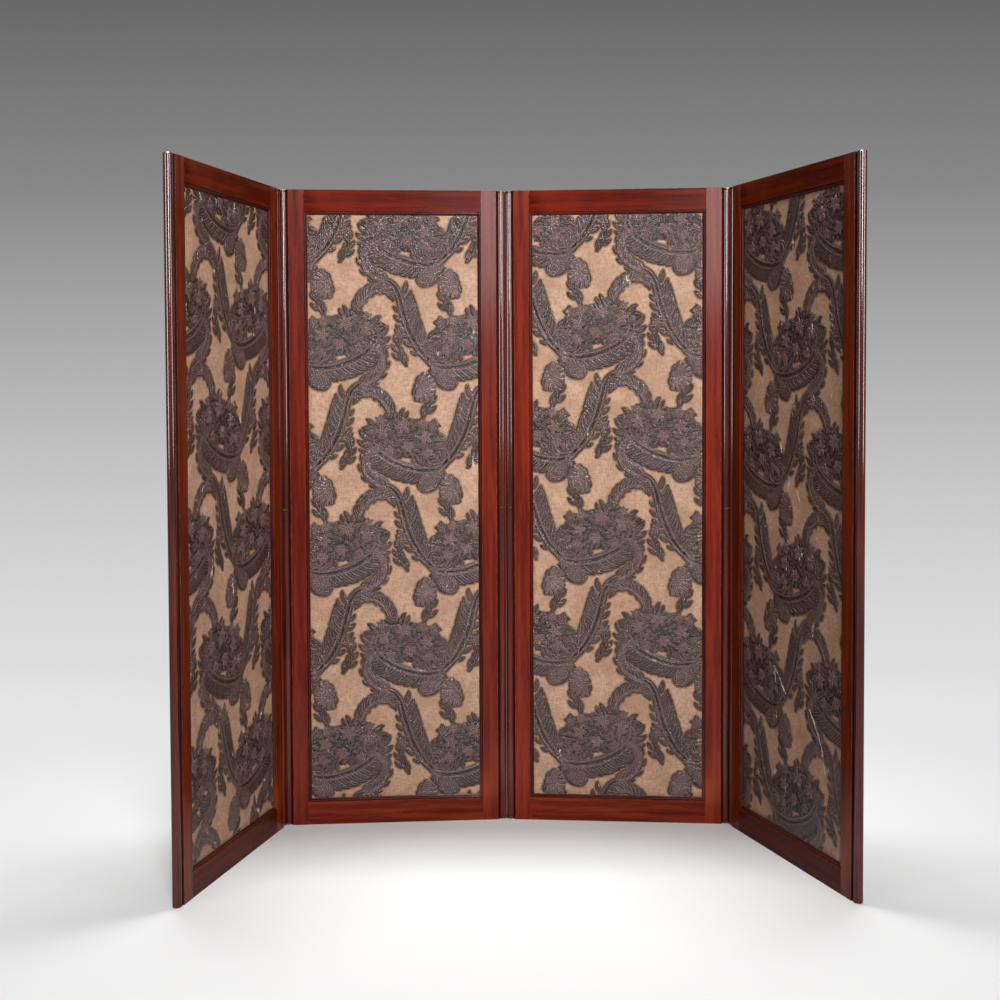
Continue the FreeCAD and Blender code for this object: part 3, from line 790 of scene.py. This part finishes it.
def slab(name, counts, face, back, more_points=None, more_faces=None, more_lines=None):
    """A closed thin sheet over a grid, in millimetres, whose face swells a little. Relief may join it."""
    columns = numpy.linspace(*PAPER_ACROSS, counts[0])
    rows = numpy.linspace(*PAPER_UP, counts[1])
    grid = numpy.array([(x, z) for z in rows for x in columns])
    count = len(grid)
    across = len(columns)
    off_edge = numpy.minimum(grid - grid.min(axis=0), grid.max(axis=0) - grid).min(axis=1)
    outward = 1.0 if face > back else -1.0
    bulge = outward * sheet_swell(grid) * numpy.clip(off_edge / SWELL_RIM, 0.0, 1.0)
    points = numpy.concatenate((numpy.column_stack((grid[:, 0], face + bulge, grid[:, 1])),
                                numpy.column_stack((grid[:, 0], numpy.full(count, back), grid[:, 1]))))
    first = numpy.arange(count).reshape(len(rows), across)[:-1, :-1].ravel()
    squares = numpy.column_stack((first, first + 1, first + across + 1, first + across))
    rim = list(range(across))
    rim += [r * across + across - 1 for r in range(1, len(rows))]
    rim += [(len(rows) - 1) * across + c for c in range(across - 2, -1, -1)]
    rim += [r * across for r in range(len(rows) - 2, 0, -1)]
    rim = numpy.array(rim)
    onward = numpy.roll(rim, -1)
    sides = numpy.column_stack((onward, rim, rim + count, onward + count))
    faces = numpy.concatenate((squares, squares[:, ::-1] + count, sides))
    if outward > 0:
        faces = faces[:, ::-1]
    lines = points[faces.ravel()][:, (0, 2)]
    if more_points is not None:
        faces = numpy.concatenate((faces, more_faces + len(points)))
        points = numpy.concatenate((points, more_points))
        lines = numpy.concatenate((lines, more_lines))
    mesh = bpy.data.meshes.new(name)
    mesh.from_pydata((points / 1000.0).tolist(), [], faces.tolist())
    mesh.polygons.foreach_set("use_smooth", [True] * len(faces))
    mesh.uv_layers.new(name="UVMap").data.foreach_set("uv", lines.ravel())
    return mesh


def set_up(name, mesh, material, leaf):
    """Makes a sheet of a mesh, in its leaf's place."""
    mesh.materials.append(material)
    mesh.transform(leaf_place[leaf])
    mesh.update()
    return add_object(name, mesh)


for leaf in LEAVES:
    spots = laid_points[:, :2] + (leaf_middle + PAPER_SHIFT[leaf] - repeat_middle)
    centres = spots[laid_corners].mean(axis=1)
    shown = numpy.all((centres > sight_low - TUCK) & (centres < sight_high + TUCK), axis=1)
    used, corners = numpy.unique(laid_corners[shown], return_inverse=True)
    spots = numpy.clip(spots[used], sight_low - TUCK - SPARE, sight_high + TUCK + SPARE)
    inside = numpy.minimum(spots - sight_low, sight_high - spots).min(axis=1)
    pressed = numpy.clip(inside / PRESSED_RIM, 0.0, 1.0)
    heights = laid_points[used, 2] * EMBOSSING * pressed + SUNK_RIM * (1 - pressed) + sheet_swell(spots)
    relief_points = numpy.column_stack((spots[:, 0], -PAPER_FRONT - heights, spots[:, 1]))
    mesh = slab("leaf_%d_paper" % leaf, PAPER_GRID, -PAPER_FRONT, -PAPER_BACK, relief_points,
                corners.reshape(-1, 4), laid_lines[shown].reshape(-1, 2))
    sheet_count = len(mesh.vertices) - len(used)
    for label, values in (("shade", laid_shades[used]), ("rise", laid_points[used, 2])):
        layer = mesh.attributes.new(label, "FLOAT", "POINT")
        layer.data.foreach_set("value", numpy.concatenate((numpy.zeros(sheet_count), values)))
    paper = set_up("leaf_%d_paper" % leaf, mesh, leather_paper, leaf)
    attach(paper, "leaf_%d" % leaf)
    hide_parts("leaf_%d_embossed_paper" % leaf)

# Back linings
# A dull olive cotton, drawn tight over the back of each board and held at its edges by the back slips.
# The photograph doesn't show the back, so the cloth is a stand-in.
LINING_FACE = 4.0
LINING_BACK = 3.0
LINING_GRID = (33, 107)
OLIVE_TONES = ((0.060, 0.058, 0.032, 1.0), (0.128, 0.120, 0.068, 1.0))
STAIN_TONE = (0.150, 0.118, 0.072, 1.0)
lining_cloth, tree, surface = finish_with("back_lining")
strokes = put(tree, "ShaderNodeUVMap", uv_map="UVMap").outputs[0]
weave = 0.0
for way, scale in (("X", 0.26), ("Y", 0.22)):
    threads = put(tree, "ShaderNodeTexWave", {"Vector": strokes, "Scale": scale, "Distortion": 0.6},
                  bands_direction=way)
    weave = scaled(tree, threads.outputs["Fac"], 0.5, weave)
stains = ease(tree, noise(tree, object_place(tree), 3.5, 5.0), 0.42, 0.72)
colour = blend_colours(tree, weave, *OLIVE_TONES)
colour = blend_colours(tree, times(tree, stains, 0.5), colour, STAIN_TONE)
feed(tree, surface, {"Base Color": colour, "Roughness": 0.92, "Specular IOR Level": 0.2})
roughen(tree, surface, weave, strength=0.6, distance=0.0003)
for leaf in LEAVES:
    mesh = slab("leaf_%d_lining" % leaf, LINING_GRID, LINING_FACE, LINING_BACK)
    lining = set_up("leaf_%d_lining" % leaf, mesh, lining_cloth, leaf)
    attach(lining, "leaf_%d" % leaf)
    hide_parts("leaf_%d_back_lining" % leaf)

# Slips
# Small mitred mouldings with a bead and a hollow, which hold the panel in its opening. They are
# polished darker than the frame, with the grain along each slip.
OPENING_ACROSS = (0.055, 0.533)
OPENING_UP = (0.062, 1.669)
SLIP_WOOD = ((0.038, 0.0040, 0.0022, 1.0), (0.100, 0.0120, 0.0065, 1.0), (0.150, 0.0300, 0.0180, 1.0))
for leaf in LEAVES:
    slip_wood, tree, surface = finish_with("mahogany_slip_%d" % leaf)
    place = leaf_measure(tree, leaf)
    right, back, up = parts_of(tree, place)
    from_edge = []
    for spot, (low, high) in ((right, OPENING_ACROSS), (up, OPENING_UP)):
        from_edge.append(sum_of(tree, "MINIMUM", sum_of(tree, "SUBTRACT", spot, low),
                                sum_of(tree, "SUBTRACT", high, spot)))
    lying = sum_of(tree, "LESS_THAN", from_edge[1], from_edge[0])
    across = mapped(tree, place, Rotation=ALONG_THE_RAIL)
    laid = put(tree, "ShaderNodeMix", {0: lying, 4: place, 5: across}, data_type="VECTOR").outputs[1]
    grain = mahogany_grain(tree, laid, SLIP_WOOD)
    feed(tree, surface, {
        "Base Color": grain["Color"],
        "Roughness": grain["Roughness"],
        "Specular IOR Level": 0.12,
        "Coat Weight": 0.25,
        "Coat Roughness": 0.08})
    give(slip_wood, "leaf_%d_front_slips" % leaf, "leaf_%d_back_slips" % leaf)

# Link hinges
# Brass figure-of-eight plates between the bead ends, turning on countersunk screws and plain pins.
# The brass has aged to a brown gold, darker and rougher in patches.


def aged_brass(name, scale, detail, reach, bright, brown, smooth, rougher):
    """Brass gone brown and rougher in patches."""
    material, tree, surface = finish_with(name)
    tarnish = ease(tree, noise(tree, object_place(tree), scale, detail), *reach)
    feed(tree, surface, {
        "Base Color": blend_colours(tree, tarnish, bright, brown),
        "Roughness": scaled(tree, tarnish, rougher, smooth),
        "Metallic": 1.0})
    return material


brass_link = aged_brass("brass_link", scale=160.0, detail=5.0, reach=(0.38, 0.66), smooth=0.28, rougher=0.25,
                        bright=(0.24, 0.140, 0.052, 1.0), brown=(0.060, 0.034, 0.017, 1.0))
for line in FOLD_LINES:
    give(brass_link, "link_plates_" + line)

# Pivots
# Countersunk brass screws at the ends of the beads and plain pins at the middle links. Their heads are
# duller than the plates and have gone brown in smaller patches.
brass_pivot = aged_brass("brass_pivot", scale=420.0, detail=3.0, reach=(0.40, 0.62), smooth=0.34,
                         rougher=0.28, bright=(0.26, 0.155, 0.058, 1.0), brown=(0.060, 0.034, 0.018, 1.0))
for left, right in FOLD_LINES:
    give(brass_pivot, "leaf_%s_right_pivots" % left, "leaf_%s_left_pivots" % right)

# Floor, backdrop and light
# A pale studio sweep, which glows and is painted near white by the screen and greyer up the wall and to the
# sides, as painted falloff of light. A long box overhead leaves a soft shadow along the foot, a far gridded
# box lights the front, a small one by the camera puts a sheen on the upper stiles, two strips draw lines on
# the beads, and a small box lights the back. A soft shadow of the screen is painted on the sweep behind it.
SWEEP_FRONT = -9.0
SWEEP_DEPTH = 2.4
SWEEP_RADIUS = 1.2
SWEEP_WIDTH = 14.0
SWEEP_HEIGHT = 8.0
SWEEP_TOP = 3.4
BEND_STEPS = 16
FLOOR_FADE = (0.4, 1.9)
LIGHT_POOL_FADE = (0.45, 1.5)
WALL_START = (1.2, SWEEP_DEPTH + 0.3)
SHADE_ACROSS = (0.9, 0.1)
SHADE_BACK = (0.25, 0.8)
SHADE_UP = (2.1, 1.5)
SHADE_DEPTH = 0.5
WORLD_STRENGTH = 0.08
sweep_line = [(SWEEP_FRONT, 0.0)]
for step in range(BEND_STEPS + 1):
    bend = math.radians(90.0) * step / BEND_STEPS
    sweep_line.append((SWEEP_DEPTH + SWEEP_RADIUS * math.sin(bend), SWEEP_RADIUS * (1.0 - math.cos(bend))))
sweep_line.append((SWEEP_DEPTH + SWEEP_RADIUS, SWEEP_HEIGHT))
sweep_points = []
for y, z in sweep_line:
    sweep_points.append((-SWEEP_WIDTH / 2, y, z))
    sweep_points.append((SWEEP_WIDTH / 2, y, z))
sweep_faces = []
for step in range(len(sweep_line) - 1):
    sweep_faces.append((2 * step, 2 * step + 1, 2 * step + 3, 2 * step + 2))
sweep_mesh = bpy.data.meshes.new("studio_sweep")
sweep_mesh.from_pydata(sweep_points, [], sweep_faces)
for face in sweep_mesh.polygons:
    face.use_smooth = True
sweep = add_object("studio_sweep", sweep_mesh)


def grey(level):
    """A plain grey."""
    return (level, level, level, 1.0)


sweep_paint = bpy.data.materials.new("studio_sweep")
sweep_paint.use_nodes = True
tree = sweep_paint.node_tree
tree.nodes.clear()
where = object_place(tree)
x, y, z = parts_of(tree, where)
# Painted falloff of light: the wall glows greyer the higher it goes.
wall_height = put(tree, "ShaderNodeMapRange", {"Value": z, "From Min": 0.0, "From Max": SWEEP_TOP})
wall_grey = put(tree, "ShaderNodeValToRGB", {0: wall_height.outputs[0]})
wall_ramp = wall_grey.color_ramp
wall_ramp.elements[0].color = grey(0.72)
wall_ramp.elements[1].color = grey(0.115)
for place, level in ((0.33, 0.474), (0.65, 0.246)):
    wall_ramp.elements.new(place).color = grey(level)
from_middle = put(tree, "ShaderNodeVectorMath", {0: where, 1: (0.0, -0.1, 0.0)}, operation="DISTANCE")
from_middle = from_middle.outputs["Value"]
# Painted pool of light: the floor glows near white by the screen and greyer away from it.
floor_grey = blend_colours(tree, ease(tree, from_middle, *FLOOR_FADE), grey(0.98), grey(0.79))
up_the_wall = ease(tree, y, *WALL_START)
studio_grey = blend_colours(tree, up_the_wall, floor_grey, wall_grey.outputs[0])
# Painted shadow: a soft shadow of the screen on the sweep behind it.
painted_screen_shadow = ease(tree, sum_of(tree, "ABSOLUTE", x), *SHADE_ACROSS)
for place, reach in ((y, SHADE_BACK), (z, SHADE_UP)):
    painted_screen_shadow = times(tree, painted_screen_shadow, ease(tree, place, *reach))
studio_grey = blend_colours(tree, times(tree, painted_screen_shadow, SHADE_DEPTH), studio_grey, grey(0.03))
sweep_glow = put(tree, "ShaderNodeEmission", {"Color": studio_grey, "Strength": 1.0})
ray = put(tree, "ShaderNodeLightPath").outputs
seen = sum_of(tree, "MAXIMUM", ray["Is Camera Ray"], ray["Is Glossy Ray"])
seen = sum_of(tree, "MAXIMUM", seen, ray["Is Transmission Ray"])
# Painted pool of light: the floor's own colour is paler by the screen.
floor_light_pool = blend_colours(tree, ease(tree, from_middle, *LIGHT_POOL_FADE), grey(0.85), grey(0.78))
sweep_matt = put(tree, "ShaderNodeBsdfDiffuse", {"Color": blend_colours(tree, seen, grey(0.25), floor_light_pool)})
behind = times(tree, ease(tree, y, 0.3, 1.1), 0.80)
glow_share = sum_of(tree, "MAXIMUM", behind, ease(tree, y, 0.9, SWEEP_DEPTH))
sweep_mix = put(tree, "ShaderNodeMixShader", {0: times(tree, seen, glow_share),
                                              1: sweep_matt.outputs[0], 2: sweep_glow.outputs[0]})
put(tree, "ShaderNodeOutputMaterial", {0: sweep_mix.outputs[0]})
sweep_mesh.materials.append(sweep_paint)


def soft_box(name, spot, target, wide, tall, power, spread=180.0):
    """An area lamp aimed at a point. A smaller spread, in degrees, is a grid over its face."""
    lamp = bpy.data.lights.new(name, "AREA")
    lamp.shape = "RECTANGLE"
    lamp.size = wide
    lamp.size_y = tall
    lamp.energy = power
    lamp.spread = math.radians(spread)
    holder = add_object(name, lamp)
    holder.location = spot
    holder.rotation_euler = (Vector(target) - Vector(spot)).to_track_quat("-Z", "Y").to_euler()


soft_box("overhead_light", (0.0, 1.2, 8.0), (0.0, 0.3, 0.0), wide=4.4, tall=1.3, power=505.0)
soft_box("main_light", (1.9, -8.0, 4.8), (0.0, 0.2, 1.45), wide=2.4, tall=1.2, power=34.0, spread=32.0)
soft_box("left_strip", (-2.75, -2.25, 1.7), (0.0, 0.3, 1.2), wide=0.5, tall=1.7, power=14.5)
soft_box("right_strip", (2.75, -2.25, 1.7), (0.0, 0.3, 1.2), wide=0.5, tall=1.7, power=14.0)
soft_box("sheen_light", (0.5, -4.4, 2.15), (0.0, 0.2, 1.35), wide=0.5, tall=0.9, power=5.0, spread=90.0)
soft_box("back_light", (1.5, 3.0, 1.1), (0.0, 0.3, 0.9), wide=0.5, tall=0.5, power=1.8, spread=32.0)
world = bpy.data.worlds.new("studio_air")
world.use_nodes = True
feed(world.node_tree, world.node_tree.nodes["Background"], {0: grey(1.0), 1: WORLD_STRENGTH})
bpy.context.scene.world = world
bpy.context.scene.view_settings.view_transform = "Standard"

# Camera
# Level with the upper part of the screen, a little under four metres in front of the middle fold line.
# Its place, tilts, lens and shift come from a fit to the leaf corners in the photograph.
CAMERA_FROM_FOLD = Vector((-0.0029, -3.687, 0.0))
CAMERA_HEIGHT = 1.1994
PITCH = math.radians(2.07)
YAW = math.radians(-0.19)
ROLL = math.radians(-0.23)
middle_fold = middle_of("link_plates_23")
ahead = Vector((math.sin(YAW) * math.cos(PITCH), math.cos(YAW) * math.cos(PITCH), -math.sin(PITCH)))
aside = ahead.cross(Vector((0.0, 0.0, 1.0))).normalized()
above = aside.cross(ahead)
level = math.cos(ROLL) * aside + math.sin(ROLL) * above
upright = math.cos(ROLL) * above - math.sin(ROLL) * aside
lens = bpy.data.cameras.new("studio_camera")
lens.lens = 48.406
lens.sensor_width = 36.0
lens.shift_y = -0.0664
camera = add_object("studio_camera", lens)
stand = Matrix((level, upright, -ahead)).transposed().to_4x4()
stand.translation = (middle_fold.x + CAMERA_FROM_FOLD.x, middle_fold.y + CAMERA_FROM_FOLD.y, CAMERA_HEIGHT)
camera.matrix_world = stand
bpy.context.scene.camera = camera
